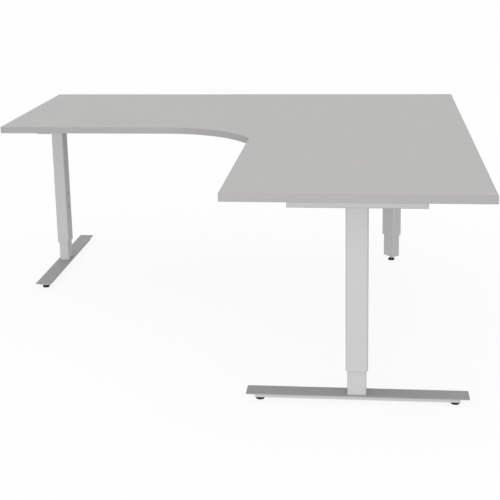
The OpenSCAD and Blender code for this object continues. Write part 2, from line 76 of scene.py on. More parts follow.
UNDER_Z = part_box("desk_top")[0].z  # underside of the board


# ---- places ----


def middle(node):
    low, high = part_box(node)
    return (low + high) / 2


def middles(boxes):
    return [(low + high) / 2 for low, high in boxes]


def leg_place(leg):
    """The leg's own frame: X along its bracket and its tubes' long side."""
    centre = middle(f"{leg}_outer_tube")
    turn = Matrix.Rotation(math.radians(LEG_TURN[leg]), 4, "Z")
    return Matrix.Translation((centre.x, centre.y, 0)) @ turn


def at(x, y, z):
    return Matrix.Translation((x, y, z))


def turned(axis, degrees):
    return Matrix.Rotation(math.radians(degrees), 4, axis)


def axes_at(origin, x_axis, z_axis):
    """A place with its X and Z axes along the given directions."""
    x, z = Vector(x_axis).normalized(), Vector(z_axis).normalized()
    return Matrix.Translation(origin) @ Matrix((x, z.cross(x), z)).transposed().to_4x4()


def shells(bm):
    """The vertices of each separate shell of a mesh."""
    left, found = set(bm.verts), []
    while left:
        growing, shell = [left.pop()], []
        while growing:
            v = growing.pop()
            shell.append(v)
            fresh = [e.other_vert(v) for e in v.link_edges if e.other_vert(v) in left]
            left.difference_update(fresh)
            growing += fresh
        found.append(shell)
    return found


def solids(node, matrix=None):
    """The box of each separate solid of a node, as (low, high), in the frame that matrix leads to."""
    bm = bmesh.new()
    bm.from_mesh(NODES[node].data)
    bmesh.ops.remove_doubles(bm, verts=bm.verts, dist=0.01 * MM)
    if matrix:
        bm.transform(matrix)
    boxes = []
    for shell in shells(bm):
        points = [v.co for v in shell]
        boxes.append((Vector(map(min, zip(*points))), Vector(map(max, zip(*points)))))
    bm.free()
    return sorted(boxes, key=lambda b: tuple(round(c, 5) for c in b[0]))


def solids_at_leg(node, leg):
    """The solids of a node that lie at one leg's bracket or column, as boxes in the leg's frame."""
    found = solids(node, leg_place(leg).inverted())
    return [b for b, centre in zip(found, middles(found)) if centre.xy.length < LEG_REACH]


# ---- mesh building ----


def loft(bm, rings, matrix=None, closed=False):
    """Quads between rings of the same number of points, with flat ends, or joined end to end."""
    matrix = matrix or Matrix.Identity(4)
    made = [[bm.verts.new(matrix @ Vector(p)) for p in ring] for ring in rings]
    pairs = list(zip(made, made[1:]))
    if closed:
        pairs.append((made[-1], made[0]))
    for a, b in pairs:
        for i in range(len(a)):
            j = (i + 1) % len(a)
            bm.faces.new((a[i], a[j], b[j], b[i]))
    if not closed:
        bm.faces.new(list(reversed(made[0])))
        bm.faces.new(made[-1])


def ring_at(outline, z):
    """An outline of (x, y) pairs, as a ring at one height."""
    return [(x, y, z) for x, y in outline]


def round_ring(r, z, steps=RING):
    angles = [2 * math.pi * i / steps for i in range(steps)]
    return [(r * math.cos(a), r * math.sin(a), z) for a in angles]


def shaped_ring(radius_at, z, steps=RING):
    """A ring whose radius is a function of the angle."""
    angles = [2 * math.pi * i / steps for i in range(steps)]
    return [(radius_at(a) * math.cos(a), radius_at(a) * math.sin(a), z) for a in angles]


def hexagon(flat):
    """Radius of a hexagon, by angle, from half its width across the flats."""
    sixth = math.pi / 3
    return lambda a: flat / math.cos((a % sixth) - sixth / 2)


def six_lobes(r):
    return lambda a: r * (0.87 + 0.13 * math.cos(6 * a))


def cross(r):
    return lambda a: r * (0.34 + 0.66 * abs(math.cos(2 * a)) ** 5)


def turned_piece(bm, profile, matrix=None, steps=RING):
    """A solid of revolution about Z from (radius, height) pairs."""
    loft(bm, [round_ring(r, z, steps) for r, z in profile], matrix)


def screw(bm, matrix, length, shank_r, head_r, head_h, recess, recess_deep):
    """A screw whose head hangs below Z = 0 and whose shank goes up. The recess is a radius by angle."""
    rings = [
        round_ring(shank_r * 0.5, length),
        round_ring(shank_r, length - shank_r * 0.6),
        round_ring(shank_r, 0),
        round_ring(head_r * 0.96, 0),
        round_ring(head_r, -head_h * 0.1),
        round_ring(head_r, -head_h * 0.55),
        round_ring(head_r * 0.96, -head_h * 0.78),
        round_ring(head_r * 0.86, -head_h * 0.94),
        round_ring(head_r * 0.76, -head_h),
        shaped_ring(recess, -head_h),
        shaped_ring(recess, -head_h + recess_deep),
    ]
    loft(bm, [list(reversed(r)) for r in rings], matrix)


def thread(bm, matrix, r, pitch, low, high, starts=1, depth=0.58, steps=24, rings_per_turn=6):
    """A thread about Z with run-out at both ends. The depth is a share of the pitch."""
    depth *= pitch
    count = int((high - low) / pitch * rings_per_turn)
    rings = []
    for k in range(count + 1):
        z = low + (high - low) * k / count
        ease = min(1, k / rings_per_turn, (count - k) / rings_per_turn)

        def radius(a, z=z, ease=ease):
            phase = (z / pitch - a * starts / (2 * math.pi)) % 1
            ridge = min(1, max(0, 1.6 - 3.2 * abs(phase - 0.5) - 0.3))
            return r - depth + depth * ridge * ease

        rings.append(shaped_ring(radius, z, steps))
    rings.append(round_ring(r - depth * 1.4, high + pitch * 0.2, steps))
    loft(bm, rings, matrix)


def extrude_outline(bm, outline, low, high, matrix=None):
    """A prism from a closed outline of (x, y) pairs, run anticlockwise."""
    loft(bm, [ring_at(outline, low), ring_at(outline, high)], matrix)


def arc(centre, r, start, end, steps):
    """Points of an arc, angles in degrees, both ends included."""
    angles = [math.radians(start + (end - start) * i / steps) for i in range(steps + 1)]
    return [(centre[0] + r * math.cos(a), centre[1] + r * math.sin(a)) for a in angles]


def rounded_outline(w, h, r, steps=4):
    """A rectangle with one corner radius, or one for each corner from the upper right anticlockwise."""
    radii = r if isinstance(r, tuple) else (r,) * 4
    corners = [(1, 1, 0), (-1, 1, 90), (-1, -1, 180), (1, -1, 270)]
    points = []
    for (sx, sy, start), c in zip(corners, radii):
        points += arc((sx * (w / 2 - c), sy * (h / 2 - c)), c, start, start + 90, steps)
    return points


def sweep(bm, points, r, steps=14):
    """A round tube along points, with its ends closed."""
    ways = [(b - a).normalized() for a, b in zip(points, points[1:])]
    ways.append(ways[-1])
    side = ways[0].orthogonal().normalized()
    rings = []
    for i, (p, way) in enumerate(zip(points, ways)):
        along = (way + ways[i - 1]).normalized() if i else way
        side = (side - along * side.dot(along)).normalized()
        up = along.cross(side)
        angles = [2 * math.pi * k / steps for k in range(steps)]
        rings.append([p + (side * math.cos(a) + up * math.sin(a)) * r for a in angles])
    loft(bm, rings)


def rounded_route(corners, radii, steps=8):
    """A route through corners, each turn an arc with its own radius."""
    route = [corners[0]]
    for before, here, after, r in zip(corners, corners[1:], corners[2:], radii):
        back, on = (before - here).normalized(), (after - here).normalized()
        half = back.angle(on) / 2
        start, end = here + back * r / math.tan(half), here + on * r / math.tan(half)
        centre = here + (back + on).normalized() * r / math.sin(half)
        sweep_angle = math.pi - 2 * half
        axis = (start - centre).cross(end - centre).normalized()
        for k in range(steps + 1):
            turn = Matrix.Rotation(sweep_angle * k / steps, 3, axis)
            route.append(centre + turn @ (start - centre))
    route.append(corners[-1])
    return route


def resampled(route, step):
    """The same route with a point at least every step."""
    points = []
    for a, b in zip(route, route[1:]):
        count = max(1, math.ceil((b - a).length / step))
        points += [a.lerp(b, k / count) for k in range(count)]
    return points + [route[-1]]


def face_outwards(bm):
    """Turns the faces of each closed shell outwards."""
    bmesh.ops.recalc_face_normals(bm, faces=bm.faces)
    for shell in shells(bm):
        base = shell[0].co.copy()
        faces = {f for v in shell for f in v.link_faces}
        volume = 0
        for f in faces:
            a, *others = [v.co - base for v in f.verts]
            volume += sum(a.dot(b.cross(c)) for b, c in zip(others, others[1:]))
        if volume < 0:
            bmesh.ops.reverse_faces(bm, faces=list(faces))


def cut_out(bm, tools):
    """Cuts tools, another mesh in the making, out of bm, and returns what is left."""
    objects = []
    for source in (bm, tools):
        face_outwards(source)
        mesh = bpy.data.meshes.new("cutting")
        source.to_mesh(mesh)
        source.free()
        obj = bpy.data.objects.new("cutting", mesh)
        bpy.context.scene.collection.objects.link(obj)
        objects.append(obj)
    body, tool = objects
    modifier = body.modifiers.new("cut", "BOOLEAN")
    modifier.object = tool
    modifier.solver = "EXACT"
    result = bmesh.new()
    result.from_mesh(body.evaluated_get(bpy.context.evaluated_depsgraph_get()).to_mesh())
    for obj in objects:
        bpy.data.objects.remove(obj)
    return result


def soft_box(bm, matrix, w, h, deep, r, edge):
    """A block along Z with corner radius r, and its two ends' edges rounded by edge."""
    rims = [(0, edge), (edge * 0.3, edge * 0.3), (edge, 0)]
    rims += [(deep - z, inset) for z, inset in reversed(rims)]
    rings = []
    for z, inset in rims:
        outline = rounded_outline(w - 2 * inset, h - 2 * inset, max(r - inset, edge * 0.2))
        rings.append(ring_at(outline, z))
    loft(bm, rings, matrix)


def drill(tools, points, r, low, high):
    """Adds an upright cutter at the plan position of each point."""
    for p in points:
        turned_piece(tools, [(r, low), (r, high)], at(p.x, p.y, 0), 32)


def mark_sharp(bm, degrees=38):
    limit = math.radians(degrees)
    for f in bm.faces:
        f.smooth = True
    for e in bm.edges:
        e.smooth = len(e.link_faces) == 2 and e.calc_face_angle(0) < limit


def piece(name, bm, body, slot, replaces=(), material=None):
    """Turns bm into a named object that rides on a body and stands for the CAD nodes given."""
    face_outwards(bm)
    mark_sharp(bm)
    mesh = bpy.data.meshes.new(name)
    bm.to_mesh(mesh)
    bm.free()
    obj = bpy.data.objects.new(name, mesh)
    bpy.context.scene.collection.objects.link(obj)
    mesh.materials.append(material or MATERIALS[slot])
    weighted_normals(obj)
    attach(obj, body)
    if replaces:
        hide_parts(*replaces)


def weighted_normals(obj):
    m = obj.modifiers.new("even_normals", "WEIGHTED_NORMAL")
    m.weight = 80
    m.keep_sharp = True


# ---- materials ----


class Surface:
    """A node material in the making. Lengths in its noises are in metres, on the object at rest."""

    def __init__(self, name, colour, roughness, metallic=0.0, **shader):
        self.material = bpy.data.materials.new(name)
        self.material.use_nodes = True
        self.material.diffuse_color = (*colour, 1)
        self.nodes = self.material.node_tree.nodes
        self.links = self.material.node_tree.links
        self.shader = self.nodes["Principled BSDF"]
        self.colour = colour
        self.roughness = roughness
        self.shader.inputs["Base Color"].default_value = (*colour, 1)
        self.shader.inputs["Roughness"].default_value = roughness
        self.shader.inputs["Metallic"].default_value = metallic
        for key, value in shader.items():
            self.shader.inputs[key.replace("_", " ")].default_value = value
        self.place = self.nodes.new("ShaderNodeTexCoord").outputs["Object"]
        self.tint = None
        self.height = None

    def scaled(self, factors):
        """The place with its axes stretched, for grain and drawing lines."""
        mapping = self.nodes.new("ShaderNodeMapping")
        mapping.inputs["Scale"].default_value = factors
        self.links.new(self.place, mapping.inputs["Vector"])
        return mapping.outputs["Vector"]

    def noise(self, feature, detail=2.0, rough=0.5, stretch=None):
        node = self.nodes.new("ShaderNodeTexNoise")
        node.inputs["Scale"].default_value = 1 / feature
        node.inputs["Detail"].default_value = detail
        node.inputs["Roughness"].default_value = rough
        self.links.new(self.scaled(stretch) if stretch else self.place, node.inputs["Vector"])
        return node.outputs["Fac"]

    def cells(self, feature):
        node = self.nodes.new("ShaderNodeTexVoronoi")
        node.inputs["Scale"].default_value = 1 / feature
        self.links.new(self.place, node.inputs["Vector"])
        split = self.nodes.new("ShaderNodeSeparateColor")
        self.links.new(node.outputs["Color"], split.inputs["Color"])
        return split.outputs["Red"]

    def span(self, value, low, high, start=0.3, end=0.7):
        """A value of 0 to 1 brought to run from low to high between start and end."""
        node = self.nodes.new("ShaderNodeMapRange")
        limits = {"From Min": start, "From Max": end, "To Min": low, "To Max": high}
        for key, number in limits.items():
            node.inputs[key].default_value = number
        self.links.new(value, node.inputs["Value"])
        return node.outputs["Result"]

    def vary_colour(self, value, amount, start=0.3, end=0.7):
        """Makes the colour lighter and darker by a share."""
        factor = self.span(value, 1 - amount, 1 + amount, start, end)
        node = self.nodes.new("ShaderNodeVectorMath")
        node.operation = "SCALE"
        if self.tint is None:
            node.inputs["Vector"].default_value = self.colour
        else:
            self.links.new(self.tint, node.inputs["Vector"])
        self.links.new(factor, node.inputs["Scale"])
        self.tint = node.outputs["Vector"]
        self.links.new(self.tint, self.shader.inputs["Base Color"])
        return self

    def vary_roughness(self, value, amount):
        low, high = self.roughness - amount, self.roughness + amount
        self.links.new(self.span(value, low, high), self.shader.inputs["Roughness"])
        return self

    def bump(self, value, height, strength=1.0):
        node = self.nodes.new("ShaderNodeBump")
        node.inputs["Distance"].default_value = height
        node.inputs["Strength"].default_value = strength
        self.links.new(value, node.inputs["Height"])
        if self.height is not None:
            self.links.new(self.height, node.inputs["Normal"])
        self.height = node.outputs["Normal"]
        self.links.new(self.height, self.shader.inputs["Normal"])
        return self


def grey(value, warm=0.0):
    """A linear grey, with a little more red and less blue where warm is above 0."""
    return (value * (1 + warm), value, value * (1 - warm))


def laminate():
    s = Surface("laminate", grey(0.5, 0.012), 0.5, Specular_IOR_Level=0.4)
    s.vary_colour(s.noise(0.35, 3), 0.005)
    s.vary_colour(s.noise(1.3 * MM, 2), 0.02)
    s.vary_roughness(s.noise(0.06, 3), 0.04)
    return s.bump(s.noise(0.9 * MM, 3, 0.6), 0.02 * MM, 0.5).material


def edge_plastic():
    s = Surface("edge_band", grey(0.4, 0.015), 0.42, Specular_IOR_Level=0.45)
    s.vary_colour(s.noise(0.25, 2), 0.012)
    s.vary_roughness(s.noise(0.05, 2), 0.05)
    lines = s.noise(0.35 * MM, 1, stretch=(0.02, 0.02, 1))
    return s.bump(lines, 0.01 * MM, 0.5).material


def silver_paint(name, value, metallic=0.1, roughness=0.45):
    """Silver powder coat: fine flakes over a slight orange peel."""
    s = Surface(name, grey(value, -0.004), roughness, metallic, Specular_IOR_Level=0.2)
    s.vary_colour(s.noise(0.12, 3), 0.008)
    s.vary_colour(s.cells(0.45 * MM), 0.07, 0, 1)
    s.vary_roughness(s.noise(1.6 * MM, 2), 0.05)
    s.bump(s.noise(1.8 * MM, 2), 0.03 * MM, 0.35)
    return s.bump(s.cells(0.5 * MM), 0.01 * MM, 0.3).material


def moulded(name, value, roughness=0.5, grain=0.7 * MM):
    """Moulded plastic with a spark-eroded grain."""
    s = Surface(name, grey(value), roughness, Specular_IOR_Level=0.45)
    s.vary_colour(s.noise(0.03, 2), 0.03)
    s.vary_roughness(s.noise(2 * MM, 2), 0.06)
    return s.bump(s.noise(grain, 2, 0.6), 0.03 * MM, 0.6).material


def cable_sheath():
    s = Surface("lead_pvc", grey(0.014), 0.38, Specular_IOR_Level=0.5)
    s.vary_colour(s.noise(0.02, 2), 0.05)
    s.vary_roughness(s.noise(4 * MM, 2), 0.06)
    return s.bump(s.noise(1.5 * MM, 2), 0.02 * MM, 0.4).material


def bare_metal(name, value, warm=0.0, roughness=0.32, stretch=(1, 1, 0.1), feature=0.4 * MM):
    """Plated or turned metal, with fine marks along one axis."""
    s = Surface(name, grey(value, warm), roughness, 1.0)
    s.vary_colour(s.noise(3 * MM, 3), 0.06)
    s.vary_roughness(s.noise(1.2 * MM, 3), 0.08)
    return s.bump(s.noise(feature, 2, stretch=stretch), 0.012 * MM, 0.5).material


def painted_can():
    s = Surface("motor_steel", grey(0.05), 0.45, 0.1)
    s.vary_colour(s.noise(8 * MM, 3), 0.06)
    return s.bump(s.noise(0.8 * MM, 2), 0.02 * MM, 0.5).material


def cast():
    s = Surface("cast_alloy", grey(0.42), 0.5, 0.8)
    s.vary_colour(s.noise(4 * MM, 4), 0.07)
    s.vary_roughness(s.noise(2 * MM, 3), 0.08)
    return s.bump(s.noise(0.9 * MM, 4, 0.7), 0.05 * MM, 0.6).material


MATERIALS = {
    "laminate": laminate(),
    "edge_band": edge_plastic(),
    "column_paint": silver_paint("column_paint", 0.585),
    "frame_paint": silver_paint("frame_paint", 0.6),
    # Same silver paint as the columns, made darker: painted shade standing in for the shade on the foot
    # plates' tops under the board
    "foot_paint": silver_paint("foot_paint", 0.395, roughness=0.48),
    "light_plastic": moulded("light_plastic", 0.5, roughness=0.45),
    "dark_plastic": moulded("dark_plastic", 0.028),
    "button_plastic": moulded("button_plastic", 0.05, roughness=0.4, grain=0.4 * MM),
    "glide_plastic": moulded("glide_plastic", 0.012, roughness=0.45),
    "lead_pvc": cable_sheath(),
    "zinc_steel": bare_metal("zinc_steel", 0.6, warm=0.01),
    "spindle_steel": bare_metal("spindle_steel", 0.52, roughness=0.25, stretch=(1, 1, 0.05)),
    "motor_steel": painted_can(),
    "cast_alloy": cast(),
    "nut_plastic": moulded("nut_plastic", 0.6, roughness=0.4),
    "plug_steel": bare_metal("plug_steel", 0.35, roughness=0.45),
}
PRINT_WHITE = moulded("icon_print", 0.62)


def dress_cad_nodes():
    """Gives every CAD node the finish that its record names."""
    for part in frame["record"]["subparts"]:
        mesh = NODES[part["node"]].data
        mesh.materials.clear()
        mesh.materials.append(MATERIALS[part["material_slot"]])


# ---- desktop ----

BAND_ROUND = 1.2 * MM  # radius of the band's arrises


def outer_loop(node):
    """The outer outline of a node's upper face, as (x, y) pairs run anticlockwise."""
    bm = bmesh.new()
    bm.from_mesh(NODES[node].data)
    bmesh.ops.remove_doubles(bm, verts=bm.verts, dist=0.01 * MM)
    top = max(v.co.z for v in bm.verts)
    upper = {f for f in bm.faces if f.normal.z > 0.9 and f.calc_center_median().z > top - MM}
    rim = [e for e in bm.edges if sum(f in upper for f in e.link_faces) == 1]
    links = {}
    for e in rim:
        for a, b in (e.verts, reversed(e.verts)):
            links.setdefault(a, []).append(b)
    loops = []
    while links:
        start, (second, *_) = next(iter(links.items()))
        loop, last, here = [start], start, second
        while here is not start:
            loop.append(here)
            last, here = here, next(v for v in links[here] if v is not last)
        for v in loop:
            del links[v]
        loops.append([Vector((v.co.x, v.co.y)) for v in loop])
    bm.free()
    loop = max(loops, key=lambda l: max(p.x for p in l) - min(p.x for p in l))
    turn = sum(a.x * b.y - b.x * a.y for a, b in zip(loop, loop[1:] + loop[:1]))
    return loop if turn > 0 else loop[::-1]


def inset_point(loop, i, inset):
    """A point of a loop moved inwards by inset, on the mitre."""
    here = loop[i]
    before = (here - loop[i - 1]).normalized()
    after = (loop[(i + 1) % len(loop)] - here).normalized()
    left_before = Vector((-before.y, before.x))
    left_after = Vector((-after.y, after.x))
    mitre = (left_before + left_after).normalized()
    return here + mitre * inset / max(0.2, mitre.dot(left_after))


def edge_band():
    """The band, with its outer arrises rounded off as a trimming cutter leaves them."""
    low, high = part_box("edge_band")
    loop = outer_loop("edge_band")
    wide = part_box("desk_top")[0].x - low.x
    r = BAND_ROUND
    angles = [math.radians(t) for t in (0, 30, 60, 90)]
    outer = [(r - r * math.cos(a), r - r * math.sin(a)) for a in angles]
    bottom = [(x, low.z + z) for x, z in outer]
    top = [(x, high.z - z) for x, z in reversed(outer)]
    profile = [(wide, low.z)] + bottom[::-1] + top[::-1] + [(wide, high.z)]
    bm = bmesh.new()
    rings = []
    for i in range(len(loop)):
        rings.append([(*inset_point(loop, i, inset), z) for inset, z in profile])
    loft(bm, rings, closed=True)
    piece("edge_band_trim", bm, "desk", "edge_band", ["edge_band"])


# ---- columns ----


def leg_box(node, leg):
    """A node's box in its leg's frame."""
    (low, high), *_ = solids(node, leg_place(leg).inverted())
    return low, high


def pipe(bm, matrix, w, h, low, high, r, wall, edge, slant=0):
    """A hollow section along Z, its rims rounded by edge. The upper rim climbs by slant along X."""
    rims = [(0, edge), (edge * 0.3, edge * 0.3), (edge, 0)]
    path = [(inset, low + up, 0) for inset, up in rims[::-1]]
    path += [(inset, high - up, slant) for inset, up in rims]
    path += [(wall - inset, high - up, slant) for inset, up in rims[::-1]]
    path += [(wall - inset, low + up, 0) for inset, up in rims]
    rings = []
    for inset, z, climb in path:
        outline = rounded_outline(w - 2 * inset, h - 2 * inset, max(r - inset, 0.3 * MM), 6)
        rings.append([(x, y, z + climb * x) for x, y in outline])
    loft(bm, rings, matrix, closed=True)


def tube(leg, part, body, r):
    """A column's tube, with the paint run over its cut rims."""
    node = f"{leg}_{part}"
    low, high = leg_box(node, leg)
    w, h, _ = high - low
    bm = bmesh.new()
    pipe(bm, leg_place(leg), w, h, low.z, high.z, r, wall=2 * MM, edge=0.4 * MM)
    piece(f"{node}_steel", bm, body, "column_paint", [node])


def columns():
    for leg in LEG_TURN:
        tube(leg, "outer_tube", "desk", 6 * MM)
        tube(leg, "inner_tube", f"{leg}_leg", 5 * MM)


# ---- brackets and rails ----

SHEET = 2.5 * MM
BRACKET_FLOOR = 3 * MM
BRACKET_BEND = 4 * MM
TAB = 30 * MM  # plate at each end of a bracket that its screws go through
ACCESS_R = 6.5 * MM  # holes in the bracket's floor that a screwdriver goes up through
SPINDLE_HOLE_R = 16.5 * MM
LEAD_HOLE_R = 4 * MM

# A motor's lead, in its leg's frame
MOTOR_END = 142 * MM  # where it starts, from the column's middle along the bracket
LEAD_OUT = 165 * MM  # where it turns and leaves through the bracket's side
LEAD_SIDE = -45 * MM  # where it goes up to the board, beside the bracket
LEAD_RISE = 27 * MM  # its height over the bracket's underside

PLATE_T = 4 * MM
PLATE_W = 90 * MM
RAIL_W, RAIL_H = 25 * MM, 40 * MM


def channel_section(half, low, top):
    """A U of bent sheet, as (y, z) pairs."""
    inner, bend = half - SHEET, BRACKET_BEND
    small, floor_z = bend - SHEET, low + BRACKET_FLOOR
    section = [(-half, top), (-half, low + bend)]
    section += arc((-half + bend, low + bend), bend, 180, 270, 5)
    section += arc((half - bend, low + bend), bend, 270, 360, 5)
    section += [(half, top), (inner, top)]
    section += arc((inner - small, floor_z + small), small, 0, -90, 4)
    section += arc((-inner + small, floor_z + small), small, -90, -180, 4)
    return section + [(-inner, top)]


def bracket(leg):
    """A bent channel, open towards the board, with its holes cut through."""
    node = f"{leg}_bracket"
    low, high = leg_box(node, leg)
    half, top = high.y, high.z
    section = channel_section(half, low.z, top)
    bm = bmesh.new()
    loft(bm, [[(x, y, z) for y, z in section] for x in (low.x, high.x)])

    tools = bmesh.new()
    through_floor = (low.z - MM, low.z + BRACKET_FLOOR + MM)
    drill(tools, middles(solids_at_leg("bracket_screws", leg)), ACCESS_R, *through_floor)
    spindle_hole = [(SPINDLE_HOLE_R, z) for z in through_floor]
    turned_piece(tools, spindle_hole, steps=64)
    lead = at(MOTOR_SIDE[leg] * LEAD_OUT, -half, low.z + LEAD_RISE) @ turned("X", -90)
    turned_piece(tools, [(LEAD_HOLE_R, -MM), (LEAD_HOLE_R, SHEET + MM)], lead, 32)
    bm = cut_out(bm, tools)
    for x in (low.x + TAB / 2, high.x - TAB / 2):
        tab = at(x, 0, top - SHEET)
        soft_box(bm, tab, TAB, 2 * (half - SHEET), SHEET, r=0.5 * MM, edge=0.2 * MM)
    bm.transform(leg_place(leg))
    piece(f"{leg}_bracket_channel", bm, "desk", "frame_paint", [node])


def end_cap(bm, leg, low, high):
    """A moulded plate that closes a bracket's end, its outer edge rounded."""
    centre = (low + high) / 2
    way = math.copysign(1, centre.x)
    deep, w, h = high - low
    inside = (centre.x - way * deep / 2, centre.y, centre.z)
    place = leg_place(leg) @ axes_at(inside, (0, way, 0), (way, 0, 0))
    corners = (1.2 * MM, 1.2 * MM, BRACKET_BEND, BRACKET_BEND)
    rings = []
    for share, inset in ((0, 0.2), (0.1, 0), (0.65, 0), (0.875, 0.25), (1, 0.8)):
        i = inset * MM
        outline = rounded_outline(w - 2 * i, h - 2 * i, tuple(c - i for c in corners))
        rings.append(ring_at(outline, share * deep))
    loft(bm, rings, place)


def end_caps():
    bm = bmesh.new()
    for leg in LEG_TURN:
        for low, high in solids_at_leg("bracket_end_caps", leg):
            end_cap(bm, leg, low, high)
    piece("bracket_caps_moulded", bm, "desk", "light_plastic", ["bracket_end_caps"])


def rail(node, start_leg, along):
    """A rail from one T leg's bracket to the corner bracket, whose face cuts it at 45 degrees."""
    bolts = middles(solids_at_leg("rail_bolts", start_leg))
    first = sum(bolts, Vector()) / len(bolts)
    face = leg_box(f"{start_leg}_bracket", start_leg)[0].y - PLATE_T
    start = leg_place(start_leg) @ Vector((first.x, face, first.z))
    across = Vector((0, 0, 1)).cross(Vector(along))
    corner = middle("corner_outer_tube")
    reach = (leg_box("corner_bracket", "corner")[0].y - PLATE_T) * math.sqrt(2)
    length = corner.x + corner.y + reach - start.x - start.y
    slant = -(across.x + across.y)
    bm = bmesh.new()
    place = axes_at(start, across, along)
    pipe(bm, place, RAIL_W, RAIL_H, 0, length, r=3 * MM, wall=2 * MM, edge=0.3 * MM, slant=slant)
    for leg in (start_leg, "corner"):
        near = nearest_two(middles(solids_at_leg("rail_bolts", leg)), leg, start, Vector(along))
        x = (near[0].x + near[1].x) / 2
        y = leg_box(f"{leg}_bracket", leg)[0].y
        plate = leg_place(leg) @ axes_at((x, y, first.z), (1, 0, 0), (0, -1, 0))
        soft_box(bm, plate, PLATE_W, RAIL_H + 4 * MM, PLATE_T, r=2.5 * MM, edge=0.5 * MM)
    piece(f"{node}_welded", bm, "desk", "frame_paint", [node])


def nearest_two(points, leg, start, along):
    """The two points of a leg's frame that lie nearest to a line."""
    place = leg_place(leg)
    return sorted(points, key=lambda p: (place @ p - start).cross(along).length)[:2]


# ---- feet ----


BOLT_R = 4 * MM
BOLT_HOLE_R = 4.3 * MM
STUD_HOLE_R = 4.6 * MM
FOOT_SHEET = 2.5 * MM


def foot_plate(leg):
    """A flat plate with softened edges, bored for the two bolts that hold the column."""
    node = f"{leg}_foot_plate"
    low, high = leg_box(node, leg)
    bm = bmesh.new()
    soft_box(bm, at(0, 0, low.z), *(high - low), r=2 * MM, edge=0.6 * MM)
    tools = bmesh.new()
    bolts = middles(solids_at_leg(f"{leg}_foot_bolts", leg))
    drill(tools, bolts, BOLT_HOLE_R, low.z - MM, high.z + MM)
    bm = cut_out(bm, tools)
    bm.transform(leg_place(leg))
    # The plate takes the darker copy of the silver paint, painted shade on its top
    piece(f"{node}_steel", bm, f"{leg}_leg", "foot_paint", [node])


def glide_nut_boxes(leg):
    return solids(f"{leg}_glide_nuts", leg_place(leg).inverted())


def foot_beam(leg):
    """A shallow folded box, open below, bored for the bolts and the glides' studs."""
    node = f"{leg}_foot_beam"
    low, high = leg_box(node, leg)
    w, h, _ = high - low
    wall, bend, rim = FOOT_SHEET, 2 * MM, 0.3 * MM
    path = [
        (wall + bend, high.z - wall), (wall, high.z - wall - bend), (wall, low.z + rim),
        (wall - rim, low.z), (rim, low.z), (0, low.z + rim), (0, high.z - 0.5 * MM),
        (0.15 * MM, high.z - 0.15 * MM), (0.5 * MM, high.z),
    ]
    rings = []
    for inset, z in path:
        outline = rounded_outline(w - 2 * inset, h - 2 * inset, max(bend - inset, rim), 4)
        rings.append(ring_at(outline, z))
    bm = bmesh.new()
    loft(bm, rings)
    tools = bmesh.new()
    bolts = middles(solids_at_leg(f"{leg}_foot_bolts", leg))
    drill(tools, bolts, BOLT_HOLE_R, low.z, high.z + MM)
    drill(tools, middles(glide_nut_boxes(leg)), STUD_HOLE_R, low.z, high.z + MM)
    bm = cut_out(bm, tools)
    bm.transform(leg_place(leg))
    piece(f"{node}_folded", bm, f"{leg}_leg", "frame_paint", [node])


def glide_nuts(leg):
    """The threaded nuts under the beam's web that the glides screw into."""
    node = f"{leg}_glide_nuts"
    bm = bmesh.new()
    for low, high in glide_nut_boxes(leg):
        place = leg_place(leg) @ at((low.x + high.x) / 2, 0, low.z)
        hex_nut(bm, place, 7.75 * MM, BOLT_R + 0.1 * MM, high.z - low.z)
    piece(f"{node}_hex", bm, f"{leg}_leg", "zinc_steel", [node])


def hex_nut(bm, matrix, flat_r, bore_r, h):
    """A hexagon nut with turned-off corners and a bored middle."""
    flat = hexagon(flat_r)
    corner = flat(0)
    chamfer = 0.07 * h
    shapes = [
        (lambda a: bore_r, 0), (lambda a: min(flat(a), corner * 0.93), 0), (flat, chamfer),
        (flat, h - chamfer), (lambda a: min(flat(a), corner * 0.93), h), (lambda a: bore_r, h),
    ]
    loft(bm, [shaped_ring(radius, z) for radius, z in shapes], matrix, closed=True)


# ---- motors, inside the brackets ----


def motor_profile(r, length):
    """A front bell, five cooling grooves and a rear cap, as (radius, height) pairs in millimetres."""
    body = r - 1.2
    profile = [(r - 1, 0), (r, 1), (r, 6), (body, 7)]
    for groove in range(5):
        z = 12 + groove * 4
        profile += [(body, z), (r - 2, z + 0.8), (r - 2, z + 2), (body, z + 2.8)]
    end = length - 10
    profile += [(body, end - 12), (r, end - 11), (r, end - 1.5), (r - 1.5, end)]
    return profile + [(r - 4, end), (r - 4, length - 1), (r - 5, length)]


def motors():
    for leg in LEG_TURN:
        node = f"{leg}_motor"
        low, high = leg_box(node, leg)
        length, across, _ = (high - low) / MM
        way = MOTOR_SIDE[leg]
        near = low.x if way > 0 else high.x
        place = leg_place(leg) @ axes_at((near, 0, (low.z + high.z) / 2), (0, 1, 0), (way, 0, 0))
        bm = bmesh.new()
        turned_piece(bm, [(r * MM, z * MM) for r, z in motor_profile(across / 2, length)], place)
        piece(f"{node}_can", bm, "desk", "motor_steel", [node])


# ---- screws, bolts and plugs ----


def fastener(shank_r, head_r, head_h, recess, recess_deep):
    """Sizes of one kind of screw, given in millimetres but for its recess."""
    sizes = {"shank_r": shank_r, "head_r": head_r, "head_h": head_h, "recess_deep": recess_deep}
    return {name: size * MM for name, size in sizes.items()} | {"recess": recess}


BOLT = fastener(4, 6.5, 5, hexagon(2.5 * MM), 3)
BOARD_SCREW = fastener(2.5, 4.5, 3, six_lobes(2.3 * MM), 1.8)
SMALL_SCREW = fastener(2, 3.8, 2.4, cross(2.3 * MM), 1.3)


def screws_up(name, node, body, kind):
    """Screws that go straight up, one for each solid of the node."""
    bm = bmesh.new()
    head_h = kind["head_h"]
    for low, high in solids(node):
        centre = (low + high) / 2
        screw(bm, at(centre.x, centre.y, low.z + head_h), high.z - low.z - head_h, **kind)
    piece(name, bm, body, "zinc_steel", [node])


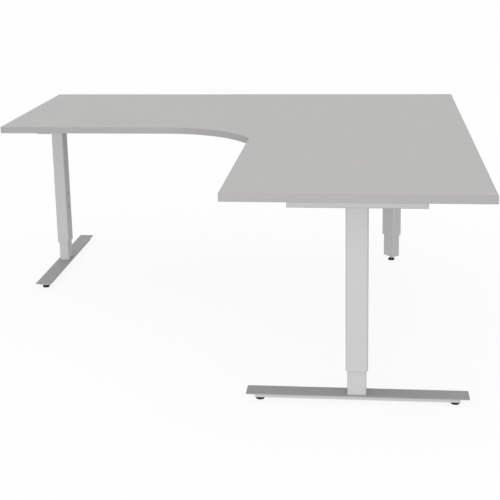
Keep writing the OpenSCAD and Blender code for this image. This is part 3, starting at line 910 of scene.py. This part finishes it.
def rail_bolts():
    bm = bmesh.new()
    head_h = BOLT["head_h"]
    for leg in LEG_TURN:
        for low, high in solids_at_leg("rail_bolts", leg):
            centre = (low + high) / 2
            place = leg_place(leg) @ at(centre.x, low.y + head_h, centre.z) @ turned("X", -90)
            screw(bm, place, high.y - low.y - head_h, **BOLT)
    piece("rail_bolts_hex", bm, "desk", "zinc_steel", ["rail_bolts"])


def fasteners():
    screws_up("bracket_screws_star", "bracket_screws", "desk", BOARD_SCREW)
    screws_up("accessory_screws_cross", "accessory_screws", "desk", SMALL_SCREW)
    for leg in T_LEGS:
        screws_up(f"{leg}_foot_bolts_hex", f"{leg}_foot_bolts", f"{leg}_leg", BOLT)
    rail_bolts()


PLUG_DOME = 0.8 * MM


def hole_plugs():
    """Press-in plugs with a low dome outside the tube's wall."""
    angles = [math.radians(t) for t in (0, 30, 55, 75)]
    bm = bmesh.new()
    for leg in LEG_TURN:
        for low, high in solids_at_leg("hole_plugs", leg):
            centre = (low + high) / 2
            r = (high.x - low.x) / 2
            stem_r = r - MM
            deep = high.y - low.y - PLUG_DOME
            dome = [(r * math.cos(a), -PLUG_DOME * (0.3 + 0.7 * math.sin(a))) for a in angles]
            stem = [(stem_r * 0.8, deep), (stem_r, deep * 0.7), (stem_r, 0), (r, 0)]
            place = leg_place(leg) @ at(centre.x, low.y + PLUG_DOME, centre.z) @ turned("X", -90)
            turned_piece(bm, stem + dome, place, 32)
    piece("hole_plugs_domed", bm, "desk", "dark_plastic", ["hole_plugs"])


# ---- levelling glides and spindles ----

GLIDE_PITCH = 1.25 * MM
PAD_H = 8.5 * MM
COLLAR_TOP = 11.5 * MM


def glide_pad(r):
    """A moulded pad with a soft rim, as (radius, height) pairs in millimetres."""
    return [
        (r - 2.2, 0.4), (r - 1.2, 0), (r - 0.4, 0.25), (r, 1), (r, 5),
        (r - 0.3, 5.7), (r - 0.9, 6.1), (r - 2.8, 8.1), (r - 3.3, 8.5),
    ]


def glide(node):
    """A black moulded pad, with a plated collar and threaded stud that turn with it."""
    low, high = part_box(node)
    centre = (low + high) / 2
    place = at(centre.x, centre.y, low.z)
    pad = glide_pad((high.x - low.x) / 2 / MM)
    bm = bmesh.new()
    turned_piece(bm, [(r * MM, z * MM) for r, z in pad], place)
    piece(f"{node}_pad", bm, node, "glide_plastic", [node])

    flat = hexagon(6.9 * MM)
    corner = flat(0)
    rings = [
        shaped_ring(flat, PAD_H),
        shaped_ring(flat, COLLAR_TOP - 0.4 * MM),
        shaped_ring(lambda a: min(flat(a), corner * 0.95), COLLAR_TOP - 0.2 * MM),
        shaped_ring(lambda a: min(flat(a), corner * 0.88), COLLAR_TOP),
    ]
    bm = bmesh.new()
    loft(bm, rings, place)
    stud_top = high.z - low.z - GLIDE_PITCH * 0.2
    thread(bm, place, BOLT_R, GLIDE_PITCH, COLLAR_TOP - 0.2 * MM, stud_top)
    piece(f"{node}_stud", bm, node, "zinc_steel", [node])


def glides():
    for body in frame["bodies"]:
        if body.endswith("_glide"):
            glide(body)


SPINDLE_PITCH = 4 * MM  # with three starts, one turn lifts the desk by three pitches
SPINDLE_PLAIN = 40 * MM  # unthreaded length at its upper end


def spindles():
    for leg in LEG_TURN:
        node = f"{leg}_spindle"
        low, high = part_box(node)
        centre = (low + high) / 2
        r = (high.x - low.x) / 2
        place = at(centre.x, centre.y, 0)
        shoulder = high.z - SPINDLE_PLAIN
        bm = bmesh.new()
        thread(bm, place, r, SPINDLE_PITCH, low.z + MM, shoulder, starts=3, depth=0.4, rings_per_turn=5)
        turned_piece(bm, [(r, shoulder), (r, high.z - MM), (r - MM, high.z)], place)
        piece(f"{node}_threaded", bm, node, "spindle_steel", [node])


# ---- control box, inlet and handset ----

BOX_FLANGE = 16 * MM  # the control box's flanges stand out this far
FLANGE_T = 3 * MM
FLANGE_W = 24 * MM


def small_screws_in(low, high):
    """The middles of the small screws that lie inside a box, seen from above."""
    points = middles(solids("accessory_screws"))
    return [p for p in points if low.x < p.x < high.x and low.y < p.y < high.y]


def slots_tool(centre, count, gap, w, length, deep):
    """Cutters for a row of round-ended slots that go up from below centre."""
    bm = bmesh.new()
    outline = rounded_outline(w, length, w * 0.49, 4)
    for k in range(count):
        x = centre.x + (k - (count - 1) / 2) * gap
        extrude_outline(bm, outline, -deep, deep, at(x, centre.y, centre.z))
    return bm


def moulded_box(bm, low, high, r, edge):
    """An upright box whose lower edge is rounded, as a moulding screwed up under the board."""
    w, h, deep = high - low
    rings = []
    for step in range(6):
        a = math.radians(18 * step)
        inset, z = edge * (1 - math.sin(a)), edge * (1 - math.cos(a))
        rings.append(ring_at(rounded_outline(w - 2 * inset, h - 2 * inset, r - inset * 0.6, 6), z))
    rings.append(ring_at(rounded_outline(w, h, r, 6), deep))
    loft(bm, rings, at((low.x + high.x) / 2, (low.y + high.y) / 2, low.z))


def box_tool(bm, low, high):
    outline = [(low.x, low.y), (high.x, low.y), (high.x, high.y), (low.x, high.y)]
    extrude_outline(bm, outline, low.z, high.z)


def control_box():
    """A flat case with screw flanges, vent slots below and an opening for the inlet."""
    low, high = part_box("control_box")
    reach = Vector((0, BOX_FLANGE, 0))
    bm = bmesh.new()
    moulded_box(bm, low + reach, high - reach, r=5 * MM, edge=2.5 * MM)
    vents = Vector((low.x + (high.x - low.x) * 0.7, (low.y + high.y) / 2, low.z))
    tools = slots_tool(vents, count=10, gap=8 * MM, w=3 * MM, length=44 * MM, deep=2 * MM)
    inlet_low, inlet_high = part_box("mains_inlet")
    frame_inset = Vector((0, 7 * MM, 3 * MM))
    box_tool(tools, Vector((low.x - MM, *inlet_low.yz)) + frame_inset, inlet_high - frame_inset)
    bm = cut_out(bm, tools)
    deep = BOX_FLANGE + MM
    for screw_at in small_screws_in(low, high):
        in_front = screw_at.y < (low.y + high.y) / 2
        y = low.y + deep / 2 if in_front else high.y - deep / 2
        place = at(screw_at.x, y, UNDER_Z - FLANGE_T)
        soft_box(bm, place, FLANGE_W, deep, FLANGE_T, r=2.5 * MM, edge=0.5 * MM)
    piece("control_box_case", bm, "desk", "dark_plastic", ["control_box"])


INLET_FLANGE = 2 * MM
INLET_FLOOR = 2.5 * MM  # wall behind the inlet's recess


def mains_inlet():
    """A three-pin appliance inlet: flange, recess with two cut corners, and flat pins."""
    low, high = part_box("mains_inlet")
    centre = (low + high) / 2
    flange = INLET_FLANGE
    place = axes_at((low.x + flange, centre.y, centre.z), (0, -1, 0), (-1, 0, 0))
    deep = high.x - low.x - flange
    w, h = high.y - low.y, high.z - low.z
    body = rounded_outline(29.6 * MM, 23.6 * MM, 1 * MM)
    plate = rounded_outline(w, h, 4 * MM)
    plate_edge = rounded_outline(w - 1.2 * MM, h - 1.2 * MM, 3.4 * MM)
    mouth_edge = rounded_outline(25 * MM, 18 * MM, (1.5 * MM, 1.5 * MM, 4.5 * MM, 4.5 * MM))
    mouth = rounded_outline(24 * MM, 17 * MM, (1 * MM, 1 * MM, 4 * MM, 4 * MM))
    outlines = [
        (body, -deep), (body, 0), (plate, 0), (plate, flange * 0.7), (plate_edge, flange),
        (mouth_edge, flange), (mouth, flange * 0.75), (mouth, INLET_FLOOR - deep),
    ]
    bm = bmesh.new()
    loft(bm, [ring_at(outline, z) for outline, z in outlines], place)
    piece("mains_inlet_socket", bm, "desk", "dark_plastic", ["mains_inlet"])

    bm = bmesh.new()
    for x, y in ((-7, -1), (0, 2), (7, -1)):
        pin = place @ at(x * MM, y * MM, INLET_FLOOR - 0.5 * MM - deep)
        soft_box(bm, pin, 2 * MM, 4 * MM, deep - 3 * MM, r=0.3 * MM, edge=0.5 * MM)
    piece("mains_inlet_pins", bm, "desk", "zinc_steel", ["mains_inlet"])


def handset_shell():
    """A small housing with a pocket for each button and two deep screw holes from below."""
    low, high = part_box("handset_housing")
    bm = bmesh.new()
    moulded_box(bm, low, high, r=4 * MM, edge=2.5 * MM)
    tools = bmesh.new()
    gap = Vector((0, 0.3 * MM, 0.3 * MM))
    travel = Vector((2 * MM, 0, 0))
    for node in ("up_button", "down_button"):
        button_low, button_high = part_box(node)
        pocket_low = Vector((low.x - MM, *button_low.yz))
        box_tool(tools, pocket_low - gap, button_high + gap + travel)
    drill(tools, small_screws_in(low, high), 4.2 * MM, low.z - MM, UNDER_Z - 4 * MM)
    bm = cut_out(bm, tools)
    piece("handset_shell", bm, "desk", "dark_plastic", ["handset_housing"])


def button(node, arrow_turn):
    """A cap and the triangle printed on it."""
    low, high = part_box(node)
    centre = (low + high) / 2
    deep, w, h = high - low
    place = axes_at((high.x, centre.y, centre.z), (0, -1, 0), (-1, 0, 0))
    bm = bmesh.new()
    soft_box(bm, place, w, h, deep, r=1.5 * MM, edge=0.9 * MM)
    piece(f"{node}_cap", bm, node, "button_plastic", [node])

    arrow = [(-3 * MM, -1.5 * MM), (3 * MM, -1.5 * MM), (0, 2.2 * MM)]
    bm = bmesh.new()
    face = place @ at(0, 0, deep) @ turned("Z", arrow_turn)
    extrude_outline(bm, arrow, -0.2 * MM, 0.06 * MM, face)
    piece(f"{node}_icon", bm, node, "light_plastic", material=PRINT_WHITE)


# ---- leads and their clips ----

LEAD_R = 3 * MM
LEAD_Z = UNDER_Z - 6 * MM  # middle of a lead held under the board
CLIP_GAP = 7 * MM  # half the stretch that a clip holds straight
CLIP_REACH = 15 * MM  # a clip holds a lead that is nearer to it than this
SHORT_SPAN = 120 * MM  # a lead stays straight over less than this
PLUG_GRIP = 20 * MM  # a plug holds its lead straight over this


def held_lengths(points, lengths, clips):
    """Lengths along a lead where something holds it, in order."""
    lead_z = max(p.z for p in points)
    rising = [s for p, s in zip(points, lengths) if abs(p.z - lead_z) > 0.01 * MM]
    stops = [max(rising, default=0.0), lengths[-1] - PLUG_GRIP]
    for clip in clips:
        k = min(range(len(points)), key=lambda i: (points[i].xy - clip.xy).length)
        if (points[k].xy - clip.xy).length < CLIP_REACH:
            stops += [lengths[k] - CLIP_GAP, lengths[k] + CLIP_GAP]
    return sorted(stops)


def sagging(route, clips):
    """A route that hangs a little between its clips, which are points near it."""
    points = resampled(route, 12 * MM)
    lengths = [0.0]
    for a, b in zip(points, points[1:]):
        lengths.append(lengths[-1] + (b - a).length)
    stops = held_lengths(points, lengths, clips)
    for start, end in zip(stops, stops[1:]):
        gap = end - start
        if gap < SHORT_SPAN:
            continue
        deep = min(6 * MM, 0.016 * gap)
        for p, s in zip(points, lengths):
            if start < s < end:
                p.z -= deep * math.sin(math.pi * (s - start) / gap) ** 2
    return points


def lead_plug(bm, end, before):
    """The moulded plug on a lead's end, with a tapered strain relief."""
    place = axes_at(end, (end - before).cross(Vector((0, 0, 1))), before - end)
    sections = [  # width, height, distance from the end and corner radius, in millimetres
        (13, 9, 0, 1.2), (13.6, 9.6, 0.6, 1.5), (13.6, 9.6, 13, 1.5), (12.6, 9, 14.2, 2),
        (8.6, 7.6, 15, 3), (7, 6.8, 26, 3.2), (6.2, 6.2, 26.4, 3),
    ]
    loft(bm, [ring_at(rounded_outline(w * MM, h * MM, r * MM), z * MM) for w, h, z, r in sections], place)


def lead(bm, corners, radii, clips):
    """A lead along rounded corners, clipped under the board, with a plug on its far end."""
    points = sagging(rounded_route(corners, radii), clips)
    sweep(bm, points, LEAD_R)
    lead_plug(bm, points[-1], points[-2])


def leads():
    box_low, box_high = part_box("control_box")
    front_y = box_low.y + BOX_FLANGE
    clips = middles(solids("lead_clips"))
    motor_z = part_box("left_bracket")[0].z + LEAD_RISE
    ends = {
        "left": Vector((box_low.x, front_y + 15 * MM, LEAD_Z)),
        "right": Vector((box_high.x, front_y + 15 * MM, LEAD_Z)),
        "corner": Vector((box_high.x, front_y + 70 * MM, LEAD_Z)),
    }
    bm = bmesh.new()
    for leg, end in ends.items():
        out = MOTOR_SIDE[leg] * LEAD_OUT
        start = (MOTOR_SIDE[leg] * MOTOR_END, 0, motor_z)
        turns = [start, (out, 0, motor_z), (out, LEAD_SIDE, motor_z), (out, LEAD_SIDE, LEAD_Z)]
        corners = [leg_place(leg) @ Vector(turn) for turn in turns]
        corners += [Vector((corners[-1].x, end.y, LEAD_Z)), end]
        lead(bm, corners, [12 * MM] * 3 + [24 * MM], clips)
    piece("motor_leads_round", bm, "desk", "lead_pvc", ["motor_leads"])

    start = Vector((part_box("handset_housing")[1].x, middle("handset_housing").y, LEAD_Z))
    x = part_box("handset_lead")[1].x - LEAD_R
    bm = bmesh.new()
    lead(bm, [start, Vector((x, start.y, LEAD_Z)), Vector((x, front_y, LEAD_Z))], [16 * MM], clips)
    piece("handset_lead_round", bm, "desk", "lead_pvc", ["handset_lead"])


def saddle_outline():
    """A clip's section about the lead's middle: two wings on the board and an arch round the lead."""
    inner, outer, top, wing = LEAD_R + 0.05 * MM, LEAD_R + 2 * MM, UNDER_Z - LEAD_Z, 9 * MM
    left = [
        (-inner, top), (-wing + 0.4 * MM, top), (-wing, top - 0.4 * MM), (-wing, top - 1.4 * MM),
        (-wing + 0.6 * MM, top - 2 * MM), (-outer - 1.4 * MM, top - 2.2 * MM), (-outer, top - 3.6 * MM),
    ]
    right = [(-x, y) for x, y in reversed(left)]
    return left + arc((0, 0), outer, 180, 360, 16) + right + arc((0, 0), inner, 360, 180, 16)


def lead_clips():
    """Saddles that hold a lead against the board."""
    bm = bmesh.new()
    for low, high in solids("lead_clips"):
        centre = (low + high) / 2
        w, h, _ = high - low
        along = Vector((1, 0, 0) if w < h else (0, 1, 0))
        across = Vector((0, 0, 1)).cross(along)
        half = min(w, h) / 2
        place = axes_at((centre.x, centre.y, LEAD_Z), across, along)
        extrude_outline(bm, saddle_outline(), -half, half, place)
    piece("lead_clips_saddle", bm, "desk", "dark_plastic", ["lead_clips"])


# ---- camera, floor and light ----

FLOOR_R = 200  # in metres, so wide that its edge meets the sky at the horizon


def camera():
    data = bpy.data.cameras.new("camera")
    data.sensor_width = 36
    data.lens = 75.6
    data.shift_x = -0.03
    data.shift_y = -0.2
    data.clip_end = 2 * FLOOR_R
    obj = bpy.data.objects.new("camera", data)
    obj.location = (0.535, -3.831, 1.479)
    obj.rotation_euler = [math.radians(a) for a in (77.85, 0.94, 5.59)]
    bpy.context.scene.collection.objects.link(obj)
    bpy.context.scene.camera = obj


def floor():
    bm = bmesh.new()
    turned_piece(bm, [(FLOOR_R, -0.02), (FLOOR_R, 0)], steps=96)
    mesh = bpy.data.meshes.new("floor")
    bm.to_mesh(mesh)
    bm.free()
    obj = bpy.data.objects.new("floor", mesh)
    bpy.context.scene.collection.objects.link(obj)
    s = Surface("floor", grey(0.12), 0.9, Specular_IOR_Level=0.0)
    s.shader.inputs["Emission Color"].default_value = (1, 1, 1, 1)
    s.shader.inputs["Emission Strength"].default_value = 0.885
    mesh.materials.append(s.material)
    obj.visible_diffuse = False
    obj.visible_glossy = False


def area_light(name, place, target, size, power):
    data = bpy.data.lights.new(name, "AREA")
    data.shape = "RECTANGLE"
    data.size, data.size_y = size
    data.energy = power
    obj = bpy.data.objects.new(name, data)
    obj.location = place
    obj.rotation_euler = (Vector(target) - Vector(place)).to_track_quat("-Z", "Y").to_euler()
    obj.visible_camera = False
    bpy.context.scene.collection.objects.link(obj)


def sky(levels):
    """A grey studio dome. Levels are (height of the direction from -1 to 1, brightness) pairs."""
    world = bpy.data.worlds.new("studio")
    world.use_nodes = True
    nodes, links = world.node_tree.nodes, world.node_tree.links
    direction = nodes.new("ShaderNodeTexCoord").outputs["Generated"]
    split = nodes.new("ShaderNodeSeparateXYZ")
    links.new(direction, split.inputs["Vector"])
    height = nodes.new("ShaderNodeMapRange")
    height.inputs["From Min"].default_value = -1
    links.new(split.outputs["Z"], height.inputs["Value"])
    ramp = nodes.new("ShaderNodeValToRGB")
    stops = ramp.color_ramp.elements
    while len(stops) < len(levels):
        stops.new(1)
    for stop, (z, brightness) in zip(stops, levels):
        stop.position = (z + 1) / 2
        stop.color = (brightness, brightness, brightness, 1)
    links.new(height.outputs["Result"], ramp.inputs["Fac"])
    links.new(ramp.outputs["Color"], nodes["Background"].inputs["Color"])
    bpy.context.scene.world = world


def light():
    sky([(-0.3, 0.48), (-0.04, 0.52), (0.0, 0.95), (0.06, 0.95), (0.25, 0.84), (0.5, 0.87)])
    area_light("key", place=(-0.4, -6.5, 1.1), target=(0, 0, 0.5), size=(4, 1.8), power=145)
    bpy.context.scene.view_settings.view_transform = "Standard"


dress_cad_nodes()
edge_band()
columns()
for leg_name in LEG_TURN:
    bracket(leg_name)
end_caps()
rail("back_rail", "left", (1, 0, 0))
rail("side_rail", "right", (0, 1, 0))
for leg_name in T_LEGS:
    foot_plate(leg_name)
    foot_beam(leg_name)
    glide_nuts(leg_name)
motors()
fasteners()
hole_plugs()
glides()
spindles()
control_box()
mains_inlet()
handset_shell()
button("up_button", 0)
button("down_button", 180)
leads()
lead_clips()
camera()
floor()
light()
